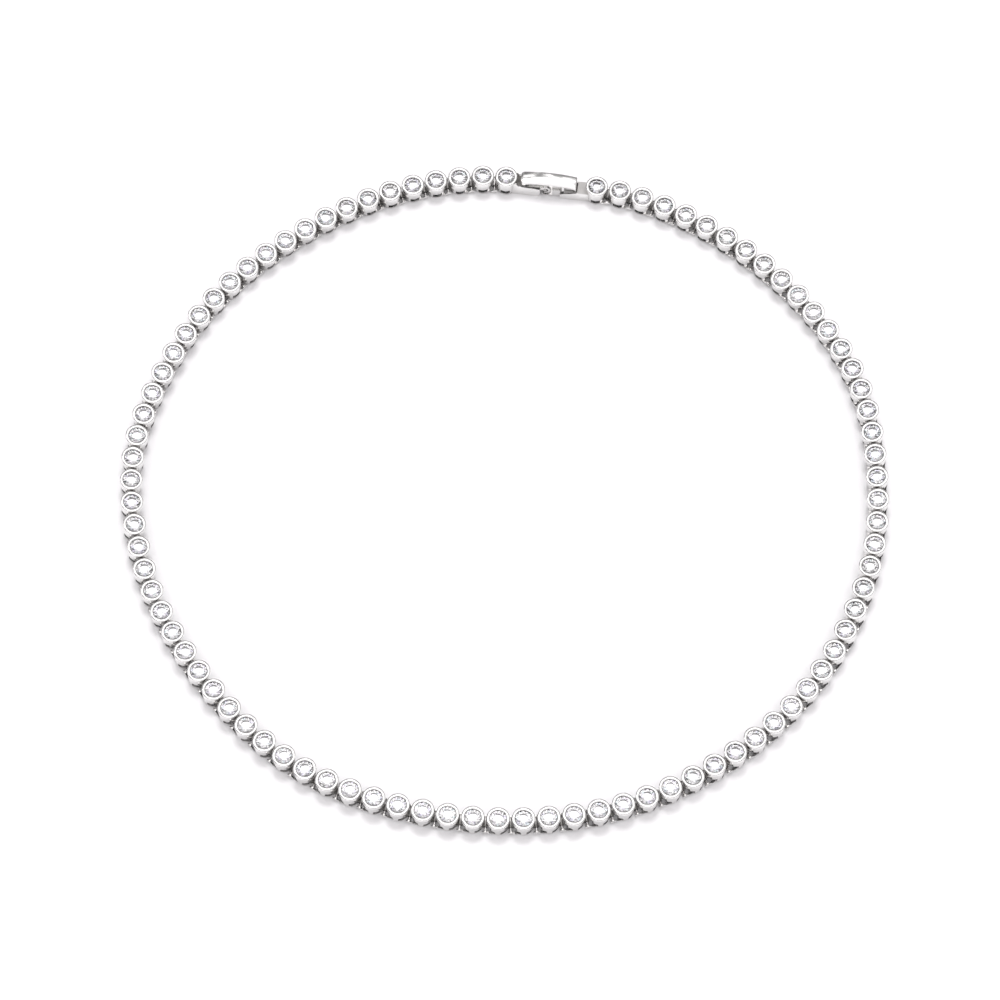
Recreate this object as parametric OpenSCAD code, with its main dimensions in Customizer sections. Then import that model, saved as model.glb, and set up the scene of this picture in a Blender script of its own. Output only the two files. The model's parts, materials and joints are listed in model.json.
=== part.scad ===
// Riviere necklace: a closed string of round bezel settings with clear stones, and a fold-over clasp.
// Millimetres, +Z up. The loop lies face up on z = 0, its clasp at the back (+Y), centred on the origin.

/* [String] */
// Number of plain links between the two clasp halves
link_count = 88; // [60:1:100]
// Gap between the rims of two neighbouring settings
rim_gap = 0.3; // [0.3:0.05:0.6]
// Largest mean lean of the links towards the middle of the loop, in degrees
lean_in = 5; // [0:0.5:6]
// How much the lean changes from link to link, in degrees
lean_vary = 2.5; // [0:0.5:3]

/* [Stone] */
// Diameter of each round stone
stone_d = 3.1; // [2.8:0.05:4]
// Table width in percent of the stone's diameter
table_pct = 57; // [50:1:65]
// Crown height in percent of the stone's diameter
crown_pct = 16; // [12:1:18]
// Pavilion depth in percent of the stone's diameter
pavilion_pct = 43; // [38:1:46]
// Thickness of the girdle
girdle_t = 0.06; // [0.04:0.01:0.12]

/* [Setting] */
// Height of a setting from its foot to its rim
setting_h = 4.3; // [3.8:0.1:5.5]
// Metal between the stone's seat and the outside of the rim
bezel_wall = 0.45; // [0.35:0.05:0.45]
// How far the foot stands in from the rim, all round
base_inset = 0.3; // [0.25:0.05:0.4]
// Thickness of the wall at the foot
foot_wall = 0.4; // [0.3:0.05:0.5]
// Height of the closed foot ring below the windows
foot_h = 0.55; // [0.4:0.05:0.8]
// Height of the three windows
window_h = 1.2; // [0.8:0.1:1.4]
// Width of the three windows
window_w = 1.75; // [1:0.05:1.75]
// Angle between the outermost line of a setting and each of its two outer windows
window_spread = 43; // [40:1:50]
// How far the lip reaches over the stone's edge
lip_hold = 0.08; // [0.05:0.01:0.12]
// Thickness of the lip at its inner edge
lip_t = 0.22; // [0.15:0.01:0.3]
// Room between a stone and its setting
seat_play = 0.1; // [0.1:0.01:0.14]

/* [Link joint] */
// Height of the joint pins above the surface
joint_z = 0.6; // [0.55:0.05:0.8]
// Radius of the eye at the tongue's end
eye_r = 0.5; // [0.48:0.01:0.52]
// Width of the eye at the tongue's end
eye_w = 1.1; // [0.8:0.1:1.1]
// Width of the tongue behind its eye
tongue_w = 1.8; // [1.2:0.1:1.8]
// Height of the tongue behind its eye
tongue_h = 0.6; // [0.4:0.05:0.8]
// Room between the tongue and each ear
side_play = 0.4; // [0.3:0.05:0.4]
// Thickness of each ear of the fork
ear_t = 0.35; // [0.25:0.05:0.35]
// Half the height of an ear
ear_h = 0.5; // [0.4:0.05:0.5]
// Length of an ear's full height behind its pin, before it drops to its low root
ear_hold = 0.25; // [0.2:0.05:0.35]
// How far an ear reaches past its pin
ear_reach = 0.55; // [0.5:0.01:0.55]
// Room between an eye and the foot ring that it enters
eye_gap = 0.15; // [0.12:0.01:0.2]
// Metal round the hole of an eye
eye_wall = 0.12; // [0.1:0.01:0.13]
// Room between a pin and the hole that it passes through
pin_play = 0.19; // [0.18:0.01:0.2]

/* [Clasp] */
// Distance between the two stones beside the clasp
clasp_span = 17.3; // [17:0.1:19]
// Outer width of the first half's channel
base_w = 2.7; // [2.5:0.1:3]
// Outer width of the second half's channel
catch_w = 2.6; // [2.4:0.1:3]
// Thickness of the channel walls
channel_wall = 0.25; // [0.2:0.05:0.3]
// Thickness of the channel floors
floor_t = 0.35; // [0.25:0.05:0.5]
// Gap between the first channel and the plate below the hook
channel_gap = 0.5; // [0.4:0.05:1.1]
// Height of the first channel's walls
base_h = 2.85; // [2.5:0.05:2.9]
// Start of the second channel, from the first channel's stone
catch_start = 10.4; // [10.3:0.05:10.5]
// Height of the second channel's walls at their low end
catch_h_low = 1.6; // [1.2:0.1:2]
// Height of the second channel's closed end
catch_h = 2.75; // [2.4:0.05:2.85]
// Length of the closed end, back from its stone
deck_len = 3.6; // [2.8:0.1:3.6]

/* [Hook and bar] */
// Gap between the hook and the block beside it
hook_gap = 0.3; // [0.25:0.05:0.4]
// Height of the hook's centre
hook_z = 2.05; // [1.9:0.05:2.2]
// Outer radius of the hook
hook_r = 1; // [0.9:0.05:1]
// Thickness of the strip and the hook
strip_t = 0.3; // [0.2:0.05:0.35]
// Radius of the bar in the hook
bar_r = 0.28; // [0.2:0.02:0.34]
// Width of the strip, the hook and the plate below it
strip_w = 1.9; // [1.7:0.1:1.9]
// How far the plate reaches past the hook's centre
plate_reach = 0.5; // [0.4:0.05:0.5]
// Width of the lug that carries the bar
lug_w = 0.6; // [0.4:0.05:0.7]
// Length of the block beside the hook
block_len = 1.6; // [1:0.1:1.6]
// Height of the block beside the hook
block_h = 2.2; // [1.6:0.1:2.6]
// Thickness of the post that the lid closes over
post_t = 0.5; // [0.3:0.05:0.5]
// Height of the post
post_h = 4; // [3.2:0.1:4]

/* [Lid] */
// Length of the lid
lid_len = 10.6; // [10.4:0.05:10.65]
// Width of the lid
lid_w = 2.25; // [2:0.05:2.3]
// Thickness of the lid's metal
lid_t = 0.3; // [0.2:0.05:0.35]
// Depth of the lid's side flanges
flange_h = 1; // [0.8:0.05:1]
// Height of the lid's top at its two ends
lid_end_z = 4.6; // [4.55:0.05:5]
// Rise of the lid's arch above its ends
arch_rise = 0.7; // [0.4:0.05:0.9]
// Distance of the lid's hinged end from the first stone
lid_x = 2.85; // [2.8:0.05:2.9]
// Radius of the lid's corners at its hinged end
lid_corner = 0.5; // [0.2:0.05:0.6]
// Radius of the lid's corners at its other end
lid_end_corner = 0.2; // [0.1:0.05:0.3]
// Distance of the hinge pin from the lid's end
hinge_in = 0.5; // [0.45:0.05:0.55]
// Height of the hinge pin
hinge_z = 3.8; // [3.75:0.05:3.85]
// Radius of the hinge pin
hinge_pin_r = 0.18; // [0.12:0.01:0.2]
// Radius of the hinge's knuckle
knuckle_r = 0.48; // [0.4:0.02:0.5]
// Room round the hinge pin
hinge_play = 0.1; // [0.08:0.01:0.12]
// Width of the hinge's knuckle
knuckle_w = 1.4; // [1:0.05:1.5]

/* [Hidden] */
$fn = 48;

// Points of the route, by hand, anticlockwise from the middle of the clasp
route_points = [
    [9.5, 63], [-16.5, 62], [-41, 50.5], [-59, 32],
    [-68.5, 8], [-66.5, -15.5], [-54, -39], [-35, -56],
    [-9.5, -64], [17, -63], [41.5, -52], [59.5, -33],
    [68, -9.5], [67, 17], [55.5, 38.5], [34.5, 55.5],
];
route_steps = 24;

// Sizes of a setting and its joints that follow from the driving ones
stone_r = stone_d / 2;
bore_r = stone_r + seat_play;
bezel_r = bore_r + bezel_wall;
base_r = bezel_r - base_inset;
foot_in_r = base_r - foot_wall;
pitch = 2 * bezel_r + rim_gap;
lip_r = stone_r - lip_hold;
table_r = stone_r * table_pct / 100;
crown_h = stone_d * crown_pct / 100;
pavilion_h = stone_d * pavilion_pct / 100;
rim_round = bezel_wall / 3;
lip_z = setting_h - rim_round - lip_t;
girdle_z = lip_z - seat_play - lip_hold * crown_h / (stone_r - table_r);
pavilion_slope = pavilion_h / stone_r;
seat_drop = seat_play * sqrt(1 + pavilion_slope * pavilion_slope);
seat_w = 0.55;
seat_in_r = bore_r - seat_w;
eye_bore_r = eye_r - eye_wall;
pin_r = eye_bore_r - pin_play;
ear_in = tongue_w / 2 + side_play;
ear_out = ear_in + ear_t;
ear_drop = 0.45;
function root_at(reach) = sqrt(base_r * base_r - reach * reach) - foot_wall / 8;
notch_h = joint_z + eye_r + eye_gap;
notch_w = tongue_w + side_play;

// The height of a seat or lip surface below the stone, at radius r
function seat_z(r) = girdle_z - girdle_t - (stone_r - r) * pavilion_slope - seat_drop;

// The smooth closed curve through the route's points
point_count = len(route_points);
function route_point(i) = route_points[(i + point_count) % point_count];
function spline(a, b, c, d, t) =
    (2 * b + (c - a) * t + (2 * a - 5 * b + 4 * c - d) * t * t + (3 * b - a - 3 * c + d) * t * t * t) / 2;
route = [
    for (i = [0 : point_count]) for (k = [0 : i < point_count ? route_steps - 1 : 0])
        spline(route_point(i - 1), route_point(i), route_point(i + 1), route_point(i + 2), k / route_steps)
];
route_last = len(route) - 1;
route_s = [
    for (i = 0, s = 0; i <= route_last; i = i + 1, s = i <= route_last ? s + norm(route[i] - route[i - 1]) : s) s
];
route_len = route_s[route_last];
route_x = [for (i = [0 : route_last]) [route_s[i], route[i].x]];
route_y = [for (i = [0 : route_last]) [route_s[i], route[i].y]];
function route_at(s) = [lookup(s, route_x), lookup(s, route_y)];

// The clasp takes a straight reach, and the string takes what is left of the loop
clasp_reach = clasp_span + pitch;
string_len = link_count * pitch;
function scale_for(half) = string_len / (route_len - 2 * half);
function reach_for(half) = scale_for(half) * norm(route_at(half) - route_at(route_len - half));
function find_half(low, high, tries) =
    let (mid = (low + high) / 2)
    tries == 0 ? mid :
    reach_for(mid) < clasp_reach ? find_half(mid, high, tries - 1) : find_half(low, mid, tries - 1);
clasp_half = find_half(0, route_len / 8, 24);
route_scale = scale_for(clasp_half);
string_step = (route_len - 2 * clasp_half) / link_count;

// Joints between links, 0 at the first clasp half and link_count at the second
function flat_joint(k) = route_scale * route_at(clasp_half + k * string_step);
clasp_dir = (flat_joint(link_count) - flat_joint(0)) / norm(flat_joint(link_count) - flat_joint(0));
function flat_stone(i) =
    i == 0 ? flat_joint(0) + clasp_dir * pitch / 2 :
    i > link_count ? flat_joint(link_count) - clasp_dir * pitch / 2 :
    (flat_joint(i - 1) + flat_joint(i)) / 2;
stones_x = [for (i = [0 : link_count + 1]) flat_stone(i).x];
stones_y = [for (i = [0 : link_count + 1]) flat_stone(i).y];
loop_centre = [(min(stones_x) + max(stones_x)) / 2, (min(stones_y) + max(stones_y)) / 2];

// Each link leans inwards, some more than others, and those at the clasp and opposite it come upright
lean_turn = 47;
lean_links = 6;
lean_far = link_count / 4;
function lean_share(i) =
    min(1, (i - 1) / lean_links, (link_count - i) / lean_links, abs(i - link_count / 2) / lean_far);
function lean(i) = -(lean_in + lean_vary * sin(lean_turn * i)) * lean_share(i);
function lean_z(i) = joint_z * cos(lean(i)) + base_r * sin(abs(lean(i)));
function joint_height(k) = k == 0 || k == link_count ? joint_z : max(lean_z(k), lean_z(k + 1));
joints = [for (k = [0 : link_count]) let (p = flat_joint(k) - loop_centre) [p.x, p.y, joint_height(k)]];

// Sizes of the clasp that follow from the driving ones
clasp_play = 0.1;
base_shoulder = bezel_r + clasp_play;
shoulder_h = setting_h - 0.4;
shoulder_drop = 0.3;
shoulder_top = 0.2;
base_rise = 0.2;
base_drop = 0.15;
base_drop_len = 2.4;
floor_start = base_r - foot_wall / 2;
wall_start = foot_in_r - foot_wall;
catch_drop = 0.15;
catch_drop_len = 0.3;
block_x = catch_start + 0.1;
hook_x = block_x - block_len - hook_gap - hook_r;
hook_in_r = hook_r - 1.5 * strip_t;
hook_mid_r = (hook_r + hook_in_r) / 2;
hook_mouth = [180, 255];
hook_join = [126, 146];
lug_play = 0.15;
lug_head_r = hook_in_r - clasp_play;
cheek_w = (strip_w - lug_w) / 2 - lug_play;
plate_start = hook_x - plate_reach;
base_len = plate_start - channel_gap;
plate_z = 0.1;
plate_t = 0.35;
post_x = block_x + 0.2;
hinge_x = lid_x + hinge_in;
knuckle_bore_r = hinge_pin_r + hinge_play;
riser_t = 0.4;
arch_r = (lid_len * lid_len / 4 + arch_rise * arch_rise) / (2 * arch_rise);
arch_x = lid_x + lid_len / 2;
arch_z = lid_end_z + arch_rise - arch_r;
lid_end = lid_x + lid_len;
hem_z = 3.1;
hem_t = 0.25;
hem_start = post_x + post_t + 2 * clasp_play;
hem_w = 1.7;
dip_x = 4.2;
dip_z = 2.35;
dip_lap = 0.1;

// A point of the hook in the outline across the clasp, at radius r and angle a
function hook_point(r, a) = [hook_x + r * cos(a), hook_z + r * sin(a)];

// Places its children on link i, with x along the string and the joints at plus and minus half the pitch
module at_link(i) {
    a = joints[i - 1];
    b = joints[i];
    mid = (a + b) / 2;
    d = b - a;
    translate(mid)
        rotate([lean(i), -atan2(d.z, norm([d.x, d.y])), atan2(d.y, d.x)])
            translate([0, 0, -joint_z])
                children();
}

// Places its children in the clasp's frame: x runs from the first half's stone to the second half's
module at_clasp() {
    first = flat_stone(0) - loop_centre;
    translate([first.x, first.y, 0])
        rotate(atan2(clasp_dir.y, clasp_dir.x))
            children();
}

// Extrudes an outline drawn in x and z over a width across the string
module across(width, offset_y = 0) {
    translate([0, offset_y + width / 2, 0])
        rotate([90, 0, 0])
            linear_extrude(width)
                children();
}

// Round metal cup that holds a stone: closed rim, tapered wall, three windows and a foot ring
module bezel() {
    difference() {
        rotate_extrude()
            polygon([
                [foot_in_r, 0],
                [base_r, 0],
                [bezel_r, setting_h - 3 * rim_round],
                [bezel_r, setting_h - rim_round],
                [bezel_r - rim_round, setting_h],
                [lip_r + rim_round, setting_h],
                [lip_r, setting_h - rim_round],
                [lip_r, lip_z],
                [bore_r, lip_z],
                [bore_r, seat_z(bore_r)],
                [seat_in_r, seat_z(seat_in_r)],
            ]);
        for (turn = [90, -90 - window_spread, -90 + window_spread])
            rotate(turn)
                translate([0, -window_w / 2, foot_h])
                    cube([bezel_r, window_w, window_h]);
    }
}

// Two ears with low roots and the pin between them, on the -x side of a setting
module fork() {
    ear_end = pitch / 2 + ear_reach - ear_h;
    ear_root = root_at(ear_out);
    for (side = [-1, 1])
        across(ear_t, side * (ear_in + ear_t / 2)) {
            translate([-ear_end, joint_z])
                circle(ear_h);
            polygon([
                [-ear_end, joint_z - ear_h],
                [-ear_root, joint_z - ear_h],
                [-ear_root, foot_h],
                [ear_hold + ear_drop - pitch / 2, foot_h],
                [ear_hold - pitch / 2, joint_z + ear_h],
                [-ear_end, joint_z + ear_h],
            ]);
        }
    across(2 * ear_in + ear_t)
        translate([-pitch / 2, joint_z])
            circle(pin_r);
}

// Setting with a fork, its foot ring open between the ears for the next link's eye
module forked_bezel() {
    difference() {
        bezel();
        translate([-bezel_r, -notch_w / 2, -notch_h])
            cube([bezel_r, notch_w, 2 * notch_h]);
    }
    fork();
}

// Tongue with a narrower eye, on the +x side of a setting
module tongue() {
    tongue_root = root_at(tongue_w / 2);
    across(eye_w)
        difference() {
            union() {
                translate([pitch / 2, joint_z])
                    circle(eye_r);
                translate([tongue_root, joint_z - tongue_h / 2])
                    square([pitch / 2 - tongue_root, tongue_h]);
            }
            translate([pitch / 2, joint_z])
                circle(eye_bore_r);
        }
    across(tongue_w)
        translate([tongue_root, joint_z - tongue_h / 2])
            square([pitch / 2 - eye_r - tongue_root, tongue_h]);
}

module link() {
    forked_bezel();
    tongue();
}

// Round brilliant: octagonal table, 24 crown facets, a girdle of 16 sides and 16 pavilion facets
module brilliant() {
    table = [for (k = [0 : 7]) [table_r * cos(45 * k), table_r * sin(45 * k), crown_h]];
    upper = [for (j = [0 : 15]) [stone_r * cos(22.5 * j), stone_r * sin(22.5 * j), 0]];
    lower = [for (p = upper) [p.x, p.y, -girdle_t]];
    culet = [0, 0, -girdle_t - pavilion_h];
    up = 8;
    low = 24;
    tip = 40;
    translate([0, 0, girdle_z])
        polyhedron(
            points = concat(table, upper, lower, [culet]),
            faces = concat(
                [[for (k = [7 : -1 : 0]) k]],
                [for (k = [0 : 7]) [k, up + 2 * k, up + (2 * k + 15) % 16]],
                [for (k = [0 : 7]) [k, up + 2 * k + 1, up + 2 * k]],
                [for (k = [0 : 7]) [k, (k + 1) % 8, up + 2 * k + 1]],
                [for (j = [0 : 15]) [up + j, up + (j + 1) % 16, low + (j + 1) % 16, low + j]],
                [for (j = [0 : 15]) [low + j, low + (j + 1) % 16, tip]]
            )
        );
}

// The part of the lid's arch between two depths below its top
module arch_band(top, bottom) {
    intersection() {
        translate([arch_x, arch_z])
            difference() {
                circle(arch_r - top, $fn = 180);
                circle(arch_r - bottom, $fn = 180);
            }
        translate([lid_x, lid_end_z - 2 * flange_h])
            square([lid_len, 4 * flange_h]);
    }
}

// All plain links of the string
module settings() {
    color("silver")
        for (i = [1 : link_count])
            at_link(i) link();
}

// All stones, those of the two clasp halves included
module stones() {
    color("azure") {
        for (i = [1 : link_count])
            at_link(i) brilliant();
        at_clasp() {
            rotate(180) brilliant();
            translate([clasp_span, 0, 0]) rotate(180) brilliant();
        }
    }
}

// First clasp half: end setting, open channel, and a sprung strip with the lid's knuckle and the hook
module clasp_base() {
    color("silver") at_clasp() {
        rotate(180) {
            bezel();
            tongue();
        }
        translate([floor_start, -base_w / 2, 0])
            cube([base_len - floor_start, base_w, floor_t]);
        for (side = [-1, 1])
            across(channel_wall, side * (base_w - channel_wall) / 2)
                polygon([
                    [wall_start, 0],
                    [base_len, 0],
                    [base_len, base_h - base_drop],
                    [base_len - base_drop_len, base_h],
                    [base_shoulder + shoulder_top, base_h + base_rise],
                    [base_shoulder, shoulder_h - shoulder_drop],
                    [base_shoulder - shoulder_top, shoulder_h],
                    [bezel_r - bezel_wall, shoulder_h],
                ]);
        across(knuckle_w)
            difference() {
                union() {
                    translate([hinge_x, hinge_z])
                        circle(knuckle_r);
                    translate([hinge_x - riser_t / 2, floor_t / 2])
                        square([riser_t, hinge_z - floor_t / 2]);
                    polygon([
                        [hinge_x, hinge_z - knuckle_r - strip_t],
                        [dip_x, dip_z],
                        [dip_x, dip_z + strip_t],
                        [hinge_x, hinge_z - knuckle_r],
                    ]);
                }
                translate([hinge_x, hinge_z])
                    circle(knuckle_bore_r);
            }
        across(strip_w)
            polygon([
                [dip_x - dip_lap, dip_z + dip_lap],
                [dip_x, dip_z],
                hook_point(hook_mid_r, hook_join[1]),
                hook_point(hook_r, hook_join[0]),
                [dip_x, dip_z + strip_t],
            ]);
        for (side = [-1, 1])
            across(cheek_w, side * (strip_w - cheek_w) / 2)
                translate([hook_x, hook_z])
                    difference() {
                        circle(hook_r);
                        circle(hook_in_r);
                        polygon([
                            [0, 0],
                            2 * hook_r * [cos(hook_mouth[0]), sin(hook_mouth[0])],
                            2 * hook_r * [-1, -1],
                            2 * hook_r * [cos(hook_mouth[1]), sin(hook_mouth[1])],
                        ]);
                    }
    }
}

// Second clasp half: end setting, channel with a closed end, and a plate with block, post, lug and bar
module clasp_catch() {
    color("silver") at_clasp() {
        translate([clasp_span, 0, 0])
            rotate(180) forked_bezel();
        translate([catch_start, -catch_w / 2, 0])
            cube([clasp_span - floor_start - catch_start, catch_w, floor_t]);
        for (side = [-1, 1])
            across(channel_wall, side * (catch_w - channel_wall) / 2)
                polygon([
                    [catch_start, 0],
                    [clasp_span - wall_start, 0],
                    [clasp_span - wall_start, catch_h],
                    [clasp_span - deck_len, catch_h],
                    [clasp_span - deck_len - catch_drop_len, catch_h - catch_drop],
                    [catch_start, catch_h_low],
                ]);
        translate([clasp_span - deck_len, -catch_w / 2, 0])
            cube([deck_len - floor_start, catch_w, catch_h]);
        translate([plate_start, -strip_w / 2, plate_z])
            cube([block_x - plate_start, strip_w, plate_t]);
        translate([block_x - block_len, -strip_w / 2, plate_z])
            cube([block_len, strip_w, block_h - plate_z]);
        translate([block_x, -strip_w / 2, plate_z])
            cube([post_x + post_t - block_x, strip_w, catch_h_low]);
        translate([post_x, -strip_w / 2, plate_z])
            cube([post_t, strip_w, post_h - plate_z]);
        across(lug_w) {
            translate([hook_x, hook_z])
                circle(lug_head_r);
            translate([hook_x - bar_r, plate_z])
                square([2 * bar_r, hook_z - plate_z]);
        }
        across(strip_w)
            translate([hook_x, hook_z])
                circle(bar_r);
    }
}

// Arched lid with side flanges, an end plate with a hem, and the hinge pin fixed in its flanges
module clasp_lid() {
    color("silver") at_clasp() {
        intersection() {
            union() {
                across(lid_w)
                    arch_band(0, lid_t);
                across(lid_w)
                    intersection() {
                        translate([lid_end - hem_t, hem_z])
                            square([hem_t, lid_end_z]);
                        translate([arch_x, arch_z])
                            circle(arch_r, $fn = 180);
                    }
                for (side = [-1, 1])
                    across(channel_wall, side * (lid_w - channel_wall) / 2) {
                        arch_band(0, flange_h);
                        translate([hinge_x, hinge_z])
                            circle(knuckle_r);
                    }
            }
            translate([lid_x, 0, 0])
                linear_extrude(2 * setting_h) {
                    translate([0, -lid_w / 2 + lid_corner])
                        square([lid_len, lid_w - 2 * lid_corner]);
                    translate([lid_corner, -lid_w / 2])
                        square([lid_len - lid_corner - lid_end_corner, lid_w]);
                    translate([lid_corner, -lid_w / 2 + lid_end_corner])
                        square([lid_len - lid_corner, lid_w - 2 * lid_end_corner]);
                    for (side = [-1, 1]) {
                        translate([lid_corner, side * (lid_w / 2 - lid_corner)])
                            circle(lid_corner);
                        translate([lid_len - lid_end_corner, side * (lid_w / 2 - lid_end_corner)])
                            circle(lid_end_corner);
                    }
                }
        }
        translate([hem_start, -hem_w / 2, hem_z])
            cube([lid_end - hem_start, hem_w, hem_t]);
        across(lid_w - channel_wall)
            translate([hinge_x, hinge_z])
                circle(hinge_pin_r);
    }
}

settings();
stones();
clasp_base();
clasp_catch();
clasp_lid();
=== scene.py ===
# %% [markdown]
# # A riviere necklace in Blender
#
# A riviere is a row of round stones, each in a metal cup of its own, with link hooked to link all the way
# round. The CAD part already has every real size, so this script only gives it its looks: rounded and
# polished metal, cut stones that really bend light, a pale floor and a soft studio light. Lengths could be
# written in Blender's metres. A jeweller measures in millimetres, so they are written in those, and `MM`
# turns them into metres.

import json
import math
import random

import bmesh
import bpy
import numpy as np
from mathutils import Matrix, Vector


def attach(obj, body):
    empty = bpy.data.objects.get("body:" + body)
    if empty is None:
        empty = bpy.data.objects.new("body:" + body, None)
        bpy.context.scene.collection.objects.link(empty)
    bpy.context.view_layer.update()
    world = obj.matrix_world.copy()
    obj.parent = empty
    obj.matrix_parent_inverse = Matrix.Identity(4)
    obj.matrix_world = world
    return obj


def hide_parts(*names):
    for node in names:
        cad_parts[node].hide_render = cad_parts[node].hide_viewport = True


MM = 0.001
SEED = 11
random.seed(SEED)

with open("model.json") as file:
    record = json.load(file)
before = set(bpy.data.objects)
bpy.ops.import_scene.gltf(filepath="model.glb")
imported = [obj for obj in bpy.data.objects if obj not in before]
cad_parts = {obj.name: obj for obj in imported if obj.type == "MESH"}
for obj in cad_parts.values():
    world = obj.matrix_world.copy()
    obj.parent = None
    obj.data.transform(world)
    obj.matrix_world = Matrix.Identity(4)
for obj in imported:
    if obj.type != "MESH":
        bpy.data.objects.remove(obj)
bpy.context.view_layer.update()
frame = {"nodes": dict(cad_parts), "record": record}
cad = frame["nodes"]
print("CAD nodes:", ", ".join(cad))

# %% [markdown]
# ## Find the stones
#
# The 90 stones of the CAD part are one mesh. The route of the string could be written down here a second
# time, but then the scene could drift away from the part, so the stones are measured instead. A stone is
# small and its neighbours stand well apart from it. Corners that lie within a stone's reach of a common
# middle therefore belong to the same stone, and no list of pieces is needed.

# %% Sizes of a stone, counted from the foot of its setting
STONE_R = 1.55
GIRDLE_Z = 3.77
CROWN_H = 0.5
TABLE_Z = GIRDLE_Z + CROWN_H
print("a stone is %.1f mm wide, with its table %.2f mm up" % (2 * STONE_R, TABLE_Z))

# %% Sort the corners into stones. The two reaches are in radii of a stone
FIRST_LOOK = 2
WHOLE_STONE = 1.25
CENTRING_ROUNDS = 4


def world_points(node):
    """The corners of a node's mesh in millimetres, where they lie in the whole part."""
    mesh = node.data
    corners = np.empty(len(mesh.vertices) * 3)
    mesh.vertices.foreach_get("co", corners)
    corners = np.c_[corners.reshape(-1, 3), np.ones(len(mesh.vertices))]
    return (corners @ np.array(node.matrix_world).T)[:, :3] / MM


def loose_groups(corners, radius):
    """Takes one group of corners after another, and centres each look on the group it found."""
    left = np.ones(len(corners), bool)
    groups = []
    while left.any():
        seed = corners[np.argmax(left)]
        near = left & (np.linalg.norm(corners - seed, axis=1) < FIRST_LOOK * radius)
        middle = corners[near].mean(axis=0)
        for _ in range(CENTRING_ROUNDS):
            near = left & (np.linalg.norm(corners - middle, axis=1) < WHOLE_STONE * radius)
            middle = (corners[near].max(axis=0) + corners[near].min(axis=0)) / 2
        groups.append(corners[near])
        left &= ~near
    return groups


stone_corners = loose_groups(world_points(cad["stones"]), STONE_R)
print("stones found:", len(stone_corners))

# %% [markdown]
# ## How each stone leans
#
# When a string of stones is laid down, each cup leans a little in its own way. The stone shows by how much:
# its axis runs from the culet, which is its lowest point, to the middle of the table, which is its flat
# top. The CAD's formula for the lean could be repeated here. Measuring the stones needs no second copy of
# it.

# %% Measure the table and the axis of each stone
TABLE_BAND = 0.2
AXIS_ROUNDS = 6
DECIMALS = 4


def stone_axis(corners):
    """The middle of the stone's table, and the direction to it from the culet."""
    unique = np.unique(corners.round(DECIMALS), axis=0)
    culet = unique[np.argmin(unique[:, 2])]
    up = np.array([0.0, 0.0, 1.0])
    for _ in range(AXIS_ROUNDS):
        height = (unique - culet) @ up
        table = unique[height > height.max() - TABLE_BAND]
        up = table.mean(axis=0) - culet
        up /= np.linalg.norm(up)
    return table.mean(axis=0), up


stones_found = [stone_axis(corners) for corners in stone_corners]
table_points = np.array([table for table, _ in stones_found])
leans = [math.degrees(math.atan2(math.hypot(up[0], up[1]), up[2])) for _, up in stones_found]
print("the stones lean by %.1f to %.1f degrees" % (min(leans), max(leans)))

# %% [markdown]
# ## The order of the stones
#
# On the necklace, the string starts at one half of the clasp and ends at the other. The order could be read
# from the angle round the middle, but that fails where a string bends back. Going each time to the nearest
# stone that is left works for any route whose turns stay well apart, because the gap at the clasp is wider
# than a step from stone to stone. The lid's hinge shows which end stone comes first.

# %% Follow the string from the hinge
END_STONE_BACK = 3


def in_chain_order(points, first):
    """The numbers of the points, each followed by its nearest neighbour that is left."""
    order = [first]
    rest = set(range(len(points))) - {first}
    while rest:
        here = points[order[-1]]
        nearest = min(rest, key=lambda number: np.linalg.norm(points[number] - here))
        order.append(nearest)
        rest.remove(nearest)
    return order


hinge = next(joint for joint in frame["record"]["behaviour"]["joints"] if joint["name"] == "lid_hinge")
clasp_back = np.array(hinge["axis"])
clasp_along = np.array([-clasp_back[1], clasp_back[0], 0.0])
beside_hinge = np.array(hinge["pos_m"]) / MM - END_STONE_BACK * clasp_along
first_stone = int(np.argmin(np.linalg.norm(table_points - beside_hinge, axis=1)))
chain = in_chain_order(table_points, first_stone)
tables = table_points[chain]
ups = np.array([stones_found[number][1] for number in chain])
steps = np.linalg.norm(np.diff(tables, axis=0), axis=1)
print("steps between tables: %.2f to %.2f mm" % (steps.min(), steps.max()))


# %% Give each setting a frame of its own
def place(number):
    """x along the string, z up the stone's own axis, and the origin at the foot of the setting."""
    up = Vector(ups[number])
    if 0 < number < len(chain) - 1:
        along = Vector(tables[number + 1] - tables[number - 1])
    else:
        along = Vector(-clasp_along)
    along = (along - along.dot(up) * up).normalized()
    foot = Vector(tables[number]) - up * TABLE_Z
    turn = Matrix((along, up.cross(along), up)).transposed().to_4x4()
    return Matrix.Translation(foot) @ turn


places = [place(number) for number in range(len(chain))]
highest_foot = max(where.translation.z for where in places)
print("the middle of a leaning foot lies up to %.2f mm above the floor" % highest_foot)

# %% [markdown]
# ## Painted shade in recesses, as a group of shader nodes
#
# The hollows of a piece of jewellery lie in shade, and here that shade is also painted into the metal's
# colour. It could be painted on a picture, but a picture would have to be unwrapped round 90 cups and goes
# soft close up. Ambient occlusion works it out for every point instead, by how much of the space around is
# open. Both polished and satin metal need it, so it is a node group: built once, and placed in each
# material.

# %% Build the group for recesses
RECESS_REACH = 1.6 * MM
RECESS_RAYS = 8


def plug_in(tree, node, inputs):
    """Links each input to another node's output, or sets it to a value."""
    for socket, value in inputs.items():
        if isinstance(value, bpy.types.NodeSocket):
            tree.links.new(value, node.inputs[socket])
        else:
            node.inputs[socket].default_value = value


def add_node(tree, kind, inputs, **settings):
    """A new node with its settings made and its inputs plugged in."""
    node = tree.nodes.new(kind)
    for name, value in settings.items():
        setattr(node, name, value)
    plug_in(tree, node, inputs)
    return node


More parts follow.
